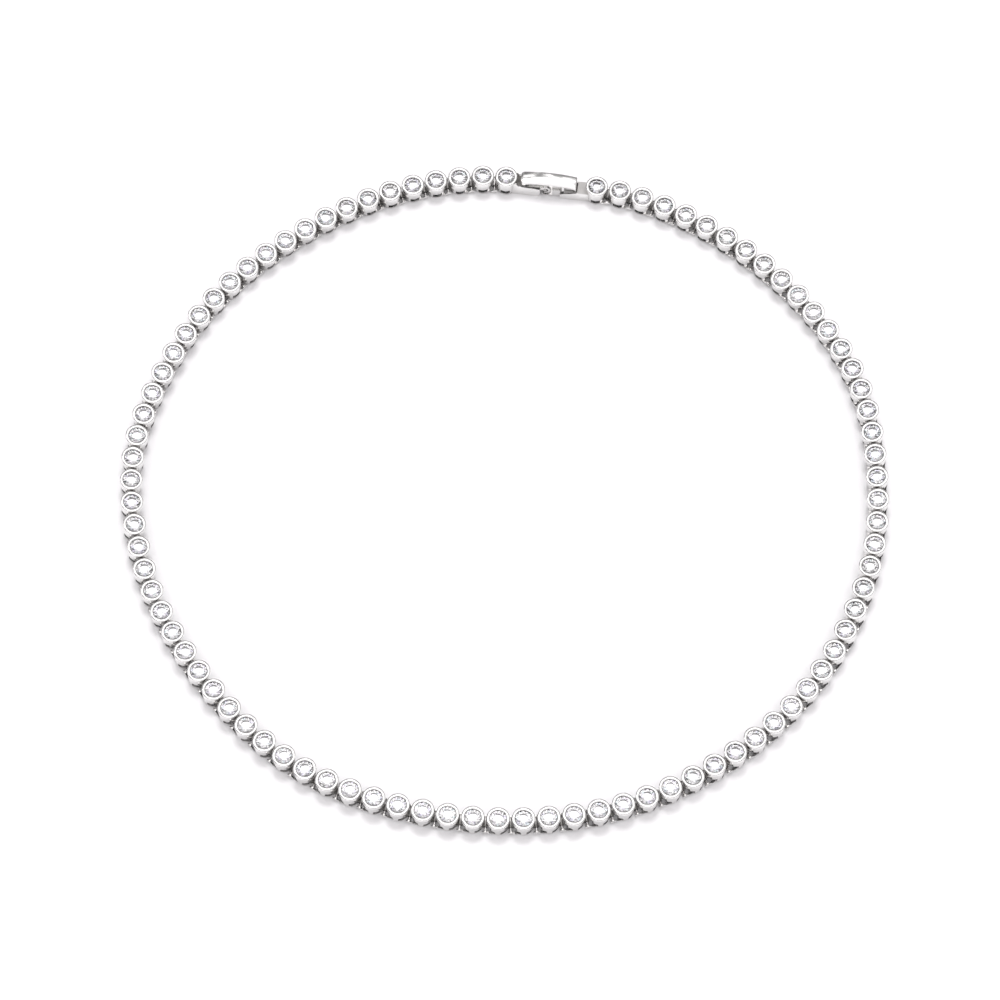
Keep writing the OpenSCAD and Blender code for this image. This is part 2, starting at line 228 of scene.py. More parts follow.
def new_group(name, inputs, outputs):
    """An empty group. Its inputs have names and values, its outputs only names, and all are numbers."""
    group = bpy.data.node_groups.new(name, "ShaderNodeTree")
    for socket, value in inputs.items():
        made = group.interface.new_socket(socket, in_out="INPUT", socket_type="NodeSocketFloat")
        made.default_value = value
    for socket in outputs:
        group.interface.new_socket(socket, in_out="OUTPUT", socket_type="NodeSocketFloat")
    return group, group.nodes.new("NodeGroupInput"), group.nodes.new("NodeGroupOutput")


def recess_group():
    """Openness is 1 where the metal is open all round, and nearer 0 in its hollows."""
    group, start, end = new_group("Recess", {"Reach": RECESS_REACH}, ["Openness"])
    inputs = {"Distance": start.outputs["Reach"]}
    around = add_node(group, "ShaderNodeAmbientOcclusion", inputs, samples=RECESS_RAYS)
    plug_in(group, end, {"Openness": around.outputs["AO"]})
    return group


recess = recess_group()
print("group:", recess.name, "looks", RECESS_REACH / MM, "mm around each point")

# %% [markdown]
# ## Fine wear, as a group of shader nodes
#
# Polished metal is never quite even: hands and cloths leave it a little rougher in one spot than in the
# next. One roughness for all of it would be simpler, but it looks like plastic film, since every highlight
# is then as sharp as the others. A soft noise in blotches of about a millimetre spreads the roughness
# between two values, and its height and tone also tilt and tint the metal a little.

# %% Build the group for fine wear
WEAR_FINENESS = 900.0
WEAR_DETAIL = 3
NOISE_LOW = 0.3
NOISE_HIGH = 0.7


def fine_wear_group():
    """A roughness between Low and High, with a height for a bump and a tone for the colour."""
    inputs = {"Fineness": WEAR_FINENESS, "Low": 0.0, "High": 1.0}
    group, start, end = new_group("Fine wear", inputs, ["Roughness", "Height", "Tone"])
    noise = add_node(group, "ShaderNodeTexNoise", {
        "Vector": add_node(group, "ShaderNodeTexCoord", {}).outputs["Object"],
        "Scale": start.outputs["Fineness"],
        "Detail": WEAR_DETAIL,
    })
    spread = add_node(group, "ShaderNodeMapRange", {
        "Value": noise.outputs["Fac"],
        "From Min": NOISE_LOW,
        "From Max": NOISE_HIGH,
        "To Min": start.outputs["Low"],
        "To Max": start.outputs["High"],
    })
    plug_in(group, end, {
        "Roughness": spread.outputs["Result"],
        "Height": noise.outputs["Fac"],
        "Tone": noise.outputs["Fac"],
    })
    return group


fine_wear = fine_wear_group()
print("group:", fine_wear.name, "in blotches of about %.1f mm" % (1 / WEAR_FINENESS / MM))

# %% [markdown]
# ## Polished metal
#
# The cups and the clasp are white metal from the polishing wheel. Almost all that one sees of it are
# reflections, so the material is a plain metal with a low roughness, and most of its looks come from the
# light around it. Its grey hollows could be left to the shadows alone, but they are also darkened with
# painted shade. The recess group gives this: below one openness the metal has the colour of the painted
# shade, and above another it has its own tone.

# %% Choose the tones, and mix them
RIM_TONE = (0.875, 0.87, 0.86)
CLASP_TONE = (0.88, 0.875, 0.865)
# Painted shade: the colour that the metal takes in its hollows.
HOLLOW_SHADE_TONE = (0.56, 0.545, 0.535)
DULLER = 0.93


def new_material(name):
    """A material with its node tree and its main shader."""
    material = bpy.data.materials.new(name)
    material.use_nodes = True
    return material, material.node_tree, material.node_tree.nodes["Principled BSDF"]


def solid(colour, share=1.0):
    """A colour, darker by the share, with the fourth number that a socket wants."""
    return (*[share * part for part in colour], 1)


def between(tree, share, first, second):
    """A colour that goes from the first to the second as the share goes from 0 to 1."""
    inputs = {"Factor": share, "A": first, "B": second}
    return add_node(tree, "ShaderNodeMix", inputs, data_type="RGBA").outputs["Result"]


print("the rims' worn tone is %.3f, %.3f, %.3f" % solid(RIM_TONE, DULLER)[:3])

# %% Make the polished metals
RIM_ROUGHNESS = (0.06, 0.16)
RIM_BUMP = 0.25
CLASP_ROUGHNESS = (0.09, 0.2)
CLASP_BUMP = 0.35
BUMP_DEPTH = 0.02 * MM
# Below the first openness the painted shade is full, and above the second it is gone.
FULL_SHADE_BELOW = 0.2
NO_SHADE_ABOVE = 0.8


def worn(tree, roughness):
    """Places the fine wear in a material, with the lowest and the highest roughness."""
    low, high = roughness
    return add_node(tree, "ShaderNodeGroup", {"Low": low, "High": high}, node_tree=fine_wear)


def openness(tree):
    """Places the recess group in a material."""
    return add_node(tree, "ShaderNodeGroup", {}, node_tree=recess).outputs["Openness"]


def polished_metal(name, tone, roughness, bump):
    """Even where it is open, darkened by painted shade in its hollows, and a little worn all over."""
    material, tree, shader = new_material(name)
    wear = worn(tree, roughness)
    unshaded_tone = between(tree, wear.outputs["Tone"], solid(tone, DULLER), solid(tone))
    unshaded_share = add_node(tree, "ShaderNodeMapRange", {
        "Value": openness(tree),
        "From Min": FULL_SHADE_BELOW,
        "From Max": NO_SHADE_ABOVE,
    })
    uneven = add_node(tree, "ShaderNodeBump", {
        "Strength": bump,
        "Distance": BUMP_DEPTH,
        "Height": wear.outputs["Height"],
    })
    plug_in(tree, shader, {
        # Painted shade in the hollows, mixed into the base colour.
        "Base Color": between(tree, unshaded_share.outputs["Result"], solid(HOLLOW_SHADE_TONE), unshaded_tone),
        "Roughness": wear.outputs["Roughness"],
        "Normal": uneven.outputs["Normal"],
        "Metallic": 1,
    })
    return material


rim_metal = polished_metal("Polished rhodium", RIM_TONE, RIM_ROUGHNESS, RIM_BUMP)
clasp_metal = polished_metal("Polished clasp", CLASP_TONE, CLASP_ROUGHNESS, CLASP_BUMP)
print("materials:", rim_metal.name, "and", clasp_metal.name)

# %% [markdown]
# ## Satin metal with painted shade
#
# The tongues between the cups and the inside of the clasp are metal that no polishing wheel reaches. Where
# the photograph shows them, they are a soft grey. They could share the polished metal and be darkened by
# shadow alone, but a mirror finish picks up bright spots even in a narrow gap. So they have a material of
# their own: rougher, and darker with painted shade, which is darker still where little of the space around
# is open.

# %% Make the satin metal, with its painted shade
SATIN_ROUGHNESS = (0.34, 0.5)
# Painted shade: the satin metal's colour where it is least open, and where it is most open.
SATIN_SHADE_DEEP = (0.4, 0.39, 0.38)
SATIN_SHADE_OPEN = (0.5, 0.49, 0.48)


def shaded_satin_metal():
    """Rough, with painted shade: dark, and darkest where it is least open."""
    material, tree, shader = new_material("Satin metal with painted shade")
    plug_in(tree, shader, {
        # Painted shade in the base colour, darkest where the metal is least open.
        "Base Color": between(tree, openness(tree), solid(SATIN_SHADE_DEEP), solid(SATIN_SHADE_OPEN)),
        "Roughness": worn(tree, SATIN_ROUGHNESS).outputs["Roughness"],
        "Metallic": 1,
    })
    return material


shaded_satin = shaded_satin_metal()
print("material:", shaded_satin.name)

# %% [markdown]
# ## Cut stone
#
# A cut stone is clear. It looks bright because light that enters through its top is thrown back up by the
# facets below. This could be painted on as a pattern, but it would stay the same from every side, so the
# stone is a real refracting body. How strongly it bends light was chosen to match the picture: with the
# lower value of the likely material, light left through the lower facets and drew a dark arc, which the
# photograph doesn't show. A real stone also splits white light into colours. Cycles doesn't do this by
# itself, so each facet has a faint tint instead.

# %% Make the material of the stones
STONE_BENDING = 2.42
STONE_ROUGHNESS = (0.0, 0.012)
TINT_LAYER = "facet_tint"


def clear_stone():
    """Glass that bends light strongly, in the tint of its facet."""
    material, tree, shader = new_material("Cut stone")
    tint = add_node(tree, "ShaderNodeVertexColor", {}, layer_name=TINT_LAYER)
    plug_in(tree, shader, {
        "Base Color": tint.outputs["Color"],
        "Roughness": worn(tree, STONE_ROUGHNESS).outputs["Roughness"],
        "IOR": STONE_BENDING,
        "Transmission Weight": 1,
    })
    return material


stone_material = clear_stone()
print("material:", stone_material.name)

# %% [markdown]
# ## The cup of a setting
#
# On the necklace, each stone sits in a short tube that is wider at the top. Inside is a seat for the stone,
# and the rim is pressed over the stone's edge. A cylinder with many bevels could give this shape, but a
# jeweller turns it on a lathe, and so does this script: it carries one outline, in distance from the axis
# and height, round in a circle. The rim is half an ellipse, because a rim that is rubbed down over a stone
# has a round highlight all the way round.

# %% Sizes of the cup, with the foot at z = 0
SETTING_H = 4.3
FOOT_IN_R = 1.4
FOOT_R = 1.8
FOOT_ROUND = 0.07
WALL_FLARE = 0.04
WALL_TOP_Z = 3.75
WINDOW_Z = 0.55
RIM_R = 2.1
LIP_R = 1.47
LIP_Z = 3.93
BORE_R = 1.65
SEAT_TOP_Z = 3.66
SEAT_IN_R = 1.1
SEAT_LOW_Z = 3.19
DOME_H = 0.2
DOME_MIDDLE = ((RIM_R + LIP_R) / 2, SETTING_H - DOME_H)
print("a cup is %.1f mm wide, and its rim %.2f mm" % (2 * RIM_R, RIM_R - LIP_R))

# %% Draw the outline of the cup
DOME_STEPS = 8


def arc(middle, radius_r, radius_z, start, end, count):
    """Points of an elliptic arc in r and z, angles in degrees from +r."""
    points = []
    for k in range(count + 1):
        angle = math.radians(start + (end - start) * k / count)
        points.append((middle[0] + radius_r * math.cos(angle), middle[1] + radius_z * math.sin(angle)))
    return points


def cup_profile():
    """Foot ring, tapered wall, domed rim, lip, seat and inner wall."""
    foot = [(FOOT_IN_R, 0.0), (FOOT_R - FOOT_ROUND, 0.0), (FOOT_R, FOOT_ROUND)]
    wall = [(FOOT_R + WALL_FLARE, WINDOW_Z), (RIM_R, WALL_TOP_Z)]
    dome = arc(DOME_MIDDLE, (RIM_R - LIP_R) / 2, DOME_H, 0, 180, DOME_STEPS)
    inner = [(LIP_R, LIP_Z), (BORE_R, LIP_Z), (BORE_R, SEAT_TOP_Z), (SEAT_IN_R, SEAT_LOW_Z)]
    return foot + wall + dome + inner


print("points in the outline:", len(cup_profile()))

# %% Turn the cup on the lathe
CUP_STEPS = 40


def turned(profile, count):
    """A closed ring from an outline in r and z."""
    made = bmesh.new()
    rings = []
    for k in range(count):
        angle = math.tau * k / count
        rings.append([made.verts.new((r * math.cos(angle), r * math.sin(angle), z)) for r, z in profile])
    size = len(profile)
    for k in range(count):
        here, there = rings[k], rings[(k + 1) % count]
        for j in range(size):
            made.faces.new((here[j], there[j], there[(j + 1) % size], here[(j + 1) % size]))
    return made


def to_mesh(made, name):
    """Turns what was built with bmesh into a mesh that an object can hold."""
    mesh = bpy.data.meshes.new(name)
    made.to_mesh(mesh)
    made.free()
    return mesh


def as_object(mesh, name):
    """Puts a mesh into the scene."""
    item = bpy.data.objects.new(name, mesh)
    bpy.context.scene.collection.objects.link(item)
    return item


def triangles(mesh):
    """How many triangles the faces of a mesh make."""
    return sum(len(face.vertices) - 2 for face in mesh.polygons)


uncut_cup = to_mesh(turned(cup_profile(), CUP_STEPS), "uncut cup")
print("the uncut cup has", triangles(uncut_cup), "triangles")

# %% [markdown]
# ## Windows and notch
#
# Three windows in the wall of a cup let light in below the stone, and a notch by the foot lets in the
# tongue of the link before. The outline can't hold them, because it is the same all round. The faces could
# be moved by hand, but a boolean cut does what the jeweller's saw does, and it also gets the edge right
# where a flat window meets the round wall. The first cup of the string has no link before it, so it has no
# notch.

# %% Make what the windows are cut with
WINDOW_W = 1.75
WINDOW_H = 1.2
WINDOW_TURNS = (90, -133, -47)


def plate(outline, width, middle_y=0.0):
    """Extrudes an outline in x and z over a width along y."""
    made = bmesh.new()
    near = [made.verts.new((x, middle_y - width / 2, z)) for x, z in outline]
    far = [made.verts.new((x, middle_y + width / 2, z)) for x, z in outline]
    size = len(outline)
    made.faces.new(near)
    made.faces.new(far[::-1])
    for j in range(size):
        made.faces.new((near[(j + 1) % size], near[j], far[j], far[(j + 1) % size]))
    bmesh.ops.recalc_face_normals(made, faces=made.faces)
    return made


def block(low, high):
    """A block between two opposite corners."""
    outline = [(low[0], low[2]), (high[0], low[2]), (high[0], high[2]), (low[0], high[2])]
    return plate(outline, high[1] - low[1], (high[1] + low[1]) / 2)


def window_cutters():
    """One block for each window, turned about the axis of the cup."""
    cutters = []
    for turn in WINDOW_TURNS:
        low = (0, -WINDOW_W / 2, WINDOW_Z)
        high = (2 * RIM_R, WINDOW_W / 2, WINDOW_Z + WINDOW_H)
        window = to_mesh(block(low, high), "window")
        window.transform(Matrix.Rotation(math.radians(turn), 4, "Z"))
        cutters.append(as_object(window, "window"))
    return cutters


print("a window is %.2f mm wide and %.2f mm high" % (WINDOW_W, WINDOW_H))

# %% Saw the cup
NOTCH_W = 2.2
NOTCH_TOP_Z = 1.25
BELOW_FOOT_Z = -1


def finished(item, name):
    """The object's mesh with its modifiers in it. The object itself goes."""
    seen = item.evaluated_get(bpy.context.evaluated_depsgraph_get())
    mesh = bpy.data.meshes.new_from_object(seen)
    mesh.name = name
    bpy.data.objects.remove(item)
    return mesh


def cut(item, cutters):
    """Takes the cutters out of the object, and gives back its mesh."""
    for cutter in cutters:
        change = item.modifiers.new("cut", "BOOLEAN")
        change.operation = "DIFFERENCE"
        change.solver = "EXACT"
        change.object = cutter
    mesh = finished(item, item.name)
    for cutter in cutters:
        bpy.data.objects.remove(cutter)
    return mesh


def sawn_cup(notched):
    """The cup with its windows, and with the notch if a link comes before it."""
    cutters = window_cutters()
    if notched:
        notch = block((-2 * RIM_R, -NOTCH_W / 2, BELOW_FOOT_Z), (0, NOTCH_W / 2, NOTCH_TOP_Z))
        cutters.append(as_object(to_mesh(notch, "notch"), "notch"))
    mesh = cut(as_object(uncut_cup.copy(), "cup"), cutters)
    made = bmesh.new()
    made.from_mesh(mesh)
    bmesh.ops.recalc_face_normals(made, faces=made.faces)
    made.to_mesh(mesh)
    made.free()
    return mesh


notched_cup = sawn_cup(True)
whole_cup = sawn_cup(False)
print("cup with a notch:", triangles(notched_cup), "triangles, without:", triangles(whole_cup))

# %% [markdown]
# ## The fork
#
# On its near side, each link has two ears with a pin between them, like a small fork. The pin carries the
# eye of the link before. An ear is flat with a round end, as if sawn from sheet, so its outline is drawn
# once and given a thickness. Its edges could be left sharp, but a sharp edge in Blender catches no light at
# all. A small bevel gives it the thin bright line that every real edge has.

# %% Draw an ear
PITCH = 4.5
PIN_Z = 0.6
EAR_H = 0.5
EAR_REACH = 0.55
EAR_HOLD = 0.25
EAR_DROP = 0.45
EAR_STEPS = 9
EAR_ROUND_FROM = 90
EAR_ROUND_TO = 290
FORK_ROOT_X = -0.67


def circle(middle, radius, count, start=0.0, end=360.0):
    """Points along a circle in x and z, from the start angle up to the last step before the end."""
    turns = [math.radians(start + (end - start) * k / count) for k in range(count)]
    return [(middle[0] + radius * math.cos(turn), middle[1] + radius * math.sin(turn)) for turn in turns]


def ear_outline():
    """From the root below the cup, along its underside, to the round end about the pin."""
    end_x = -(PITCH / 2 + EAR_REACH - EAR_H)
    root = [(FORK_ROOT_X, PIN_Z - EAR_H), (FORK_ROOT_X, WINDOW_Z)]
    slope = [(EAR_HOLD + EAR_DROP - PITCH / 2, WINDOW_Z), (EAR_HOLD - PITCH / 2, PIN_Z + EAR_H)]
    return root + slope + circle((end_x, PIN_Z), EAR_H, EAR_STEPS, EAR_ROUND_FROM, EAR_ROUND_TO)


print("points in the outline of an ear:", len(ear_outline()))

# %% Make the fork
PIN_R = 0.19
PIN_STEPS = 10
EAR_IN = 1.3
EAR_T = 0.35
SMALL_ROUND = 0.05
ROUND_ABOVE = 35
AS_MADE = Matrix.Identity(4)


def rounded(mesh, width, segments):
    """Bevels every edge that is sharper than ROUND_ABOVE, in degrees."""
    item = as_object(mesh, mesh.name)
    change = item.modifiers.new("round", "BEVEL")
    change.width = width
    change.segments = segments
    change.limit_method = "ANGLE"
    change.angle_limit = math.radians(ROUND_ABOVE)
    return finished(item, mesh.name)


def together(placed, name):
    """One mesh of several, each given with the matrix that places it."""
    made = bmesh.new()
    for mesh, matrix in placed:
        piece = mesh.copy()
        piece.transform(matrix)
        made.from_mesh(piece)
        bpy.data.meshes.remove(piece)
    return to_mesh(made, name)


def fork_mesh():
    """Two ears with rounded ends, and the pin between them, on the -x side."""
    pieces = []
    for side in (-1, 1):
        ear = to_mesh(plate(ear_outline(), EAR_T, side * (EAR_IN + EAR_T / 2)), "ear")
        pieces.append((rounded(ear, SMALL_ROUND, segments=1), AS_MADE))
    pin = plate(circle((-PITCH / 2, PIN_Z), PIN_R, PIN_STEPS), 2 * EAR_IN + EAR_T)
    pieces.append((to_mesh(pin, "pin"), AS_MADE))
    return together(pieces, "fork")


fork = fork_mesh()
print("a fork has", triangles(fork), "triangles")

# %% [markdown]
# ## The tongue and its eye
#
# On its far side, a link has a flat tongue that ends in an eye, and the eye turns on the pin of the next
# link. A jeweller rolls the eye from the end of the strip. It could be bent along a curve, but so little of
# it shows between the cups that a short tube, joined to a flat neck, looks the same. The tongue gets the
# second material slot, which is filled with the satin metal and its painted shade.

# %% Make the tongue and put the link together
EYE_R = 0.5
EYE_HOLE_R = 0.38
EYE_W = 1.1
EYE_STEPS = 16
HOLE_CLEAR = 0.02
TONGUE_ROOT_X = 1.5
TONGUE_W = 1.8
TONGUE_H = 0.6
SHADED_SATIN_SLOT = 1


def tongue_mesh():
    """A flat tongue with a rolled eye, on the +x side."""
    ring = to_mesh(plate(circle((PITCH / 2, PIN_Z), EYE_R, EYE_STEPS), EYE_W), "eye")
    hole = to_mesh(plate(circle((PITCH / 2, PIN_Z), EYE_HOLE_R, EYE_STEPS), 2 * EYE_W), "hole")
    eye = cut(as_object(ring, "eye"), [as_object(hole, "hole")])
    low_z, high_z = PIN_Z - TONGUE_H / 2, PIN_Z + TONGUE_H / 2
    neck_end_x = PITCH / 2 - EYE_HOLE_R - HOLE_CLEAR
    neck = block((TONGUE_ROOT_X, -EYE_W / 2, low_z), (neck_end_x, EYE_W / 2, high_z))
    wide = block((TONGUE_ROOT_X, -TONGUE_W / 2, low_z), (PITCH / 2 - EYE_R, TONGUE_W / 2, high_z))
    wide = rounded(to_mesh(wide, "wide"), SMALL_ROUND, segments=1)
    mesh = together([(eye, AS_MADE), (to_mesh(neck, "neck"), AS_MADE), (wide, AS_MADE)], "tongue")
    # The whole tongue gets the satin metal, with its painted shade.
    mesh.polygons.foreach_set("material_index", [SHADED_SATIN_SLOT] * len(mesh.polygons))
    return mesh


link_mesh = together([(notched_cup, AS_MADE), (fork, AS_MADE), (tongue_mesh(), AS_MADE)], "link")
print("one link has", triangles(link_mesh), "triangles")

# %% [markdown]
# ## The string
#
# All 88 plain links are the same, so the one link is copied to every place and joined into a single mesh.
# An array along a curve would also do this, but it can't follow the lean of each link, which was measured
# above. Smooth shading hides the steps of the turned cup, and edges sharper than about thirty degrees stay
# sharp.

# %% String the links
SHARP_ABOVE = 32
TO_METRES = Matrix.Scale(MM, 4)


def smooth(mesh):
    """Shades the faces smoothly, except across edges that are sharper than SHARP_ABOVE, in degrees."""
    mesh.polygons.foreach_set("use_smooth", [True] * len(mesh.polygons))
    mesh.set_sharp_from_angle(angle=math.radians(SHARP_ABOVE))


plain_links = [(link_mesh, TO_METRES @ where) for where in places[1:-1]]
string = as_object(together(plain_links, "string_of_settings"), "string_of_settings")
smooth(string.data)
string.data.materials.append(rim_metal)
# The second slot, for the tongues, holds the satin metal with painted shade.
string.data.materials.append(shaded_satin)
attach(string, "string")
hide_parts("settings")
print("string:", len(plain_links), "links,", triangles(string.data), "triangles")

# %% [markdown]
# ## The round brilliant
#
# A round brilliant has a table, 8 star facets, 8 kites and 16 upper girdle facets above its widest line,
# and 8 mains with 16 lower girdle facets below it. A cone cut by planes would give it too. Naming its
# corners ring by ring is plainer, since every facet is then a few corners of neighbouring rings. A kite or
# a main is two triangles here. The facets stay flat, because they are what makes a stone sparkle.

# %% Build the brilliant
MAINS = 8
GIRDLE_SIDES = 2 * MAINS
HALF_STEP = 180 / MAINS
TABLE_R = 0.88
GIRDLE_T = 0.06
PAVILION_H = 1.33
STAR_R = 1.18
STAR_H = 0.3
LOWER_R = 0.36
LOWER_DROP = GIRDLE_T + (STONE_R - LOWER_R) * PAVILION_H / STONE_R


def brilliant():
    """Table, stars, kites, girdle facets and pavilion, built from rings of points."""
    made = bmesh.new()

    def ring(radius, height, count, turn=0.0):
        angles = [math.radians(turn + 360 * k / count) for k in range(count)]
        level = GIRDLE_Z + height
        return [made.verts.new((radius * math.cos(a), radius * math.sin(a), level)) for a in angles]

    table = ring(TABLE_R, CROWN_H, MAINS)
    star = ring(STAR_R, STAR_H, MAINS, HALF_STEP)
    upper = ring(STONE_R, 0.0, GIRDLE_SIDES)
    lower = ring(STONE_R, -GIRDLE_T, GIRDLE_SIDES)
    culet = made.verts.new((0, 0, GIRDLE_Z - GIRDLE_T - PAVILION_H))
    belly = ring(LOWER_R, -LOWER_DROP, MAINS, HALF_STEP)
    made.faces.new(table)
    for k in range(MAINS):
        corner, middle, beyond = 2 * k, 2 * k + 1, (2 * k + 2) % GIRDLE_SIDES
        made.faces.new((table[k], star[k], table[(k + 1) % MAINS]))
        made.faces.new((table[k], star[k - 1], upper[corner]))
        made.faces.new((table[k], upper[corner], star[k]))
        made.faces.new((star[k], upper[corner], upper[middle]))
        made.faces.new((star[k], upper[middle], upper[beyond]))
        made.faces.new((lower[corner], belly[k], lower[middle]))
        made.faces.new((lower[middle], belly[k], lower[beyond]))
        made.faces.new((lower[corner], belly[k - 1], culet))
        made.faces.new((lower[corner], culet, belly[k]))
    for j in range(GIRDLE_SIDES):
        after = (j + 1) % GIRDLE_SIDES
        made.faces.new((upper[j], lower[j], lower[after], upper[after]))
    bmesh.ops.recalc_face_normals(made, faces=made.faces)
    return made


stone_mesh = to_mesh(brilliant(), "brilliant")
print("a brilliant has", len(stone_mesh.polygons), "faces and", triangles(stone_mesh), "triangles")

# %% [markdown]
# ## Setting the stones
#
# A setter presses each stone in by hand, so no two of them look the same: each is turned at random, and
# tilted by up to two and a half degrees. Ninety equal stones would sparkle all alike, which the eye notices
# at once. The facets also get their tints here. They are stored on the mesh, one colour for each face,
# because a noise texture would run across the facets' edges. All tints are made a little darker, because
# quite clear stones came out brighter than those in the photograph.

# %% Set the stones in their cups
STONE_TILT = 2.5
GIRDLE_MIDDLE = Matrix.Translation((0, 0, GIRDLE_Z))


def hand_set():
    """Turns a stone, and tilts it a little about the middle of its girdle."""
    turned_by = Matrix.Rotation(math.radians(random.uniform(0, 360 / MAINS)), 4, "Z")
    axis = Vector((random.uniform(-1, 1), random.uniform(-1, 1), 0)).normalized()
    tilted_by = Matrix.Rotation(math.radians(random.uniform(0, STONE_TILT)), 4, axis)
    return GIRDLE_MIDDLE @ tilted_by @ GIRDLE_MIDDLE.inverted() @ turned_by


set_stones = [(stone_mesh, TO_METRES @ where @ hand_set()) for where in places]
gems = as_object(together(set_stones, "brilliants"), "brilliants")
print("stones set:", len(set_stones))

# %% Tint the facets
CLEAR = (1.0, 1.0, 1.0)
COOL = (0.98, 0.97, 1.0)
WARM = (1.0, 0.99, 0.97)
VIOLET = (0.8, 0.76, 1.0)
SEA_BLUE = (0.78, 0.93, 0.97)
ROSE = (0.95, 0.86, 0.98)
TINTS = [CLEAR, CLEAR, CLEAR, CLEAR, COOL, COOL, WARM, VIOLET, SEA_BLUE, ROSE]
CLARITY = 0.93


def tint_facets(mesh):
    """Each facet gets one pale colour, like the faint fire of a real stone. The table's is the clear one."""
    layer = mesh.color_attributes.new(TINT_LAYER, "FLOAT_COLOR", "CORNER")
    for face in mesh.polygons:
        is_table = len(face.vertices) == MAINS
        tint = CLEAR if is_table else random.choice(TINTS)
        for corner in face.loop_indices:
            layer.data[corner].color = solid(tint, CLARITY)


tint_facets(gems.data)
gems.data.materials.append(stone_material)
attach(gems, "string")
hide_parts("stones")
print("brilliants:", triangles(gems.data), "triangles")

# %% [markdown]
# ## The clasp, taken over from the CAD
#
# The clasp has a half with a hook, a half with a bar, and a lid that folds over both. Its hook, channels
# and flanges could be modelled again, but the CAD has each of them already in its right place. So its
# meshes are taken over and only refined. A CAD mesh comes cut into triangles, and a bevel would stumble
# over the lines between them. Joining double points and dissolving the lines within a flat face brings
# whole faces back.

# %% Bring back the whole faces of the CAD's meshes
DOUBLE_WITHIN = 0.002
FLAT_WITHIN = 1.0


def whole_faces(mesh):
    """Joins double points and drops the lines that lie within a flat face."""
    made = bmesh.new()
    made.from_mesh(mesh)
    bmesh.ops.remove_doubles(made, verts=made.verts, dist=DOUBLE_WITHIN)
    flat = math.radians(FLAT_WITHIN)
    bmesh.ops.dissolve_limit(made, angle_limit=flat, verts=made.verts, edges=made.edges)
    made.to_mesh(mesh)
    made.free()
    return mesh


def copied(node_name):
    """The CAD node's mesh in millimetres, with whole faces."""
    node = cad[node_name]
    mesh = node.data.copy()
    mesh.transform(Matrix.Scale(1 / MM, 4) @ node.matrix_world)
    mesh.materials.clear()
    return whole_faces(mesh)


for node_name in ("clasp_base", "clasp_catch", "clasp_lid"):
    print(node_name, "comes with", len(cad[node_name].data.polygons), "faces")

# %% [markdown]
# ## End settings with a domed rim
#
# Each half of the clasp starts with a setting, soldered to it, which has two plain bevels for a rim in the
# CAD. Next to the domed rims of the string it would stand out. Its edges could be bevelled further, but
# then the end cups would still differ a little from their neighbours. So a core just larger than the cup is
# cut out of the mesh, and the turned cup takes its place.

# %% Take out the CAD's end setting
CORE_MORE = 0.004
CORE_LOW_Z = -0.1
CORE_WIDE_Z = 3.85
CORE_TOP_Z = 5.0
CORE_STEPS = 48
CORE_JOIN = 0.0001


def without_cup(mesh, where):
    """Cuts out a core round the axis of the end setting."""
    foot_r = FOOT_R + CORE_MORE
    rim_r = RIM_R + CORE_MORE
    below = [(0.0, CORE_LOW_Z), (foot_r, CORE_LOW_Z), (foot_r, 0.0)]
    above = [(rim_r, CORE_WIDE_Z), (rim_r, CORE_TOP_Z), (0.0, CORE_TOP_Z)]
    core = turned(below + above, CORE_STEPS)
    bmesh.ops.remove_doubles(core, verts=core.verts, dist=CORE_JOIN)
    bmesh.ops.recalc_face_normals(core, faces=core.faces)
    cutter = to_mesh(core, "core")
    cutter.transform(where)
    return cut(as_object(mesh, mesh.name), [as_object(cutter, "core")])


print("a core is cut out at both ends of the string, %.3f mm wider than the cup" % (2 * CORE_MORE))

# %% [markdown]
# ## Polished outside, satin with painted shade inside
#
# The outside of the clasp is polished, while its channels are dull, because a wheel can't get in there. The
# channels and the deck beyond the lid get the satin metal with its painted shade. Each face could be picked
# by hand in Edit Mode. This script picks it by where it lies: between the channel's walls, below their top,
# and not at the hook, which a maker can polish before it is soldered in.

# %% Mark the faces that get the satin metal and its painted shade
CHANNEL_IN = 1.12
CHANNEL_TOP_Z = 2.0
HOOK_FROM = 6.3
HOOK_TO = 10.6
LID_END = 13.3
FACING_UP = 0.9


def dull_and_shaded_inside(mesh):
    """Marks the faces inside the channels, and the deck beyond the lid, for the satin metal with painted
    shade.
    """
    to_clasp = places[0].inverted()
    for face in mesh.polygons:
        middle = to_clasp @ face.center
        along = -middle.x
        inside = abs(middle.y) < CHANNEL_IN and middle.z < CHANNEL_TOP_Z and along > RIM_R
        at_hook = HOOK_FROM < along < HOOK_TO
        deck = along > LID_END and face.normal.z > FACING_UP and middle.z > CHANNEL_TOP_Z
        # These faces get the satin metal, with its painted shade.
        face.material_index = SHADED_SATIN_SLOT if deck or (inside and not at_hook) else 0


print("the deck starts %.1f mm from the axis of the first stone" % LID_END)

# %% [markdown]
# ## The three pieces of the clasp
#
# Every edge is bevelled, so that it catches the light as worked metal does. On a large flat wall, smooth
# shading would bend the reflections near each bevel into wedges. Extra edge loops could stop that. Weighted
# normals do it without new faces: at each corner, the largest face counts most for the direction. The lid
# is arched all over and keeps plain smooth shading, which draws its outline better.

# %% Make the clasp
CLASP_ROUND = 0.045
CLASP_ROUND_STEPS = 2


def evenly_shaded(item):
    """Large flat faces keep their own direction, so that the rounded edges don't shade them."""
    change = item.modifiers.new("even", "WEIGHTED_NORMAL")
    change.keep_sharp = True
    seen = item.evaluated_get(bpy.context.evaluated_depsgraph_get())
    mesh = bpy.data.meshes.new_from_object(seen)
    item.modifiers.clear()
    item.data = mesh


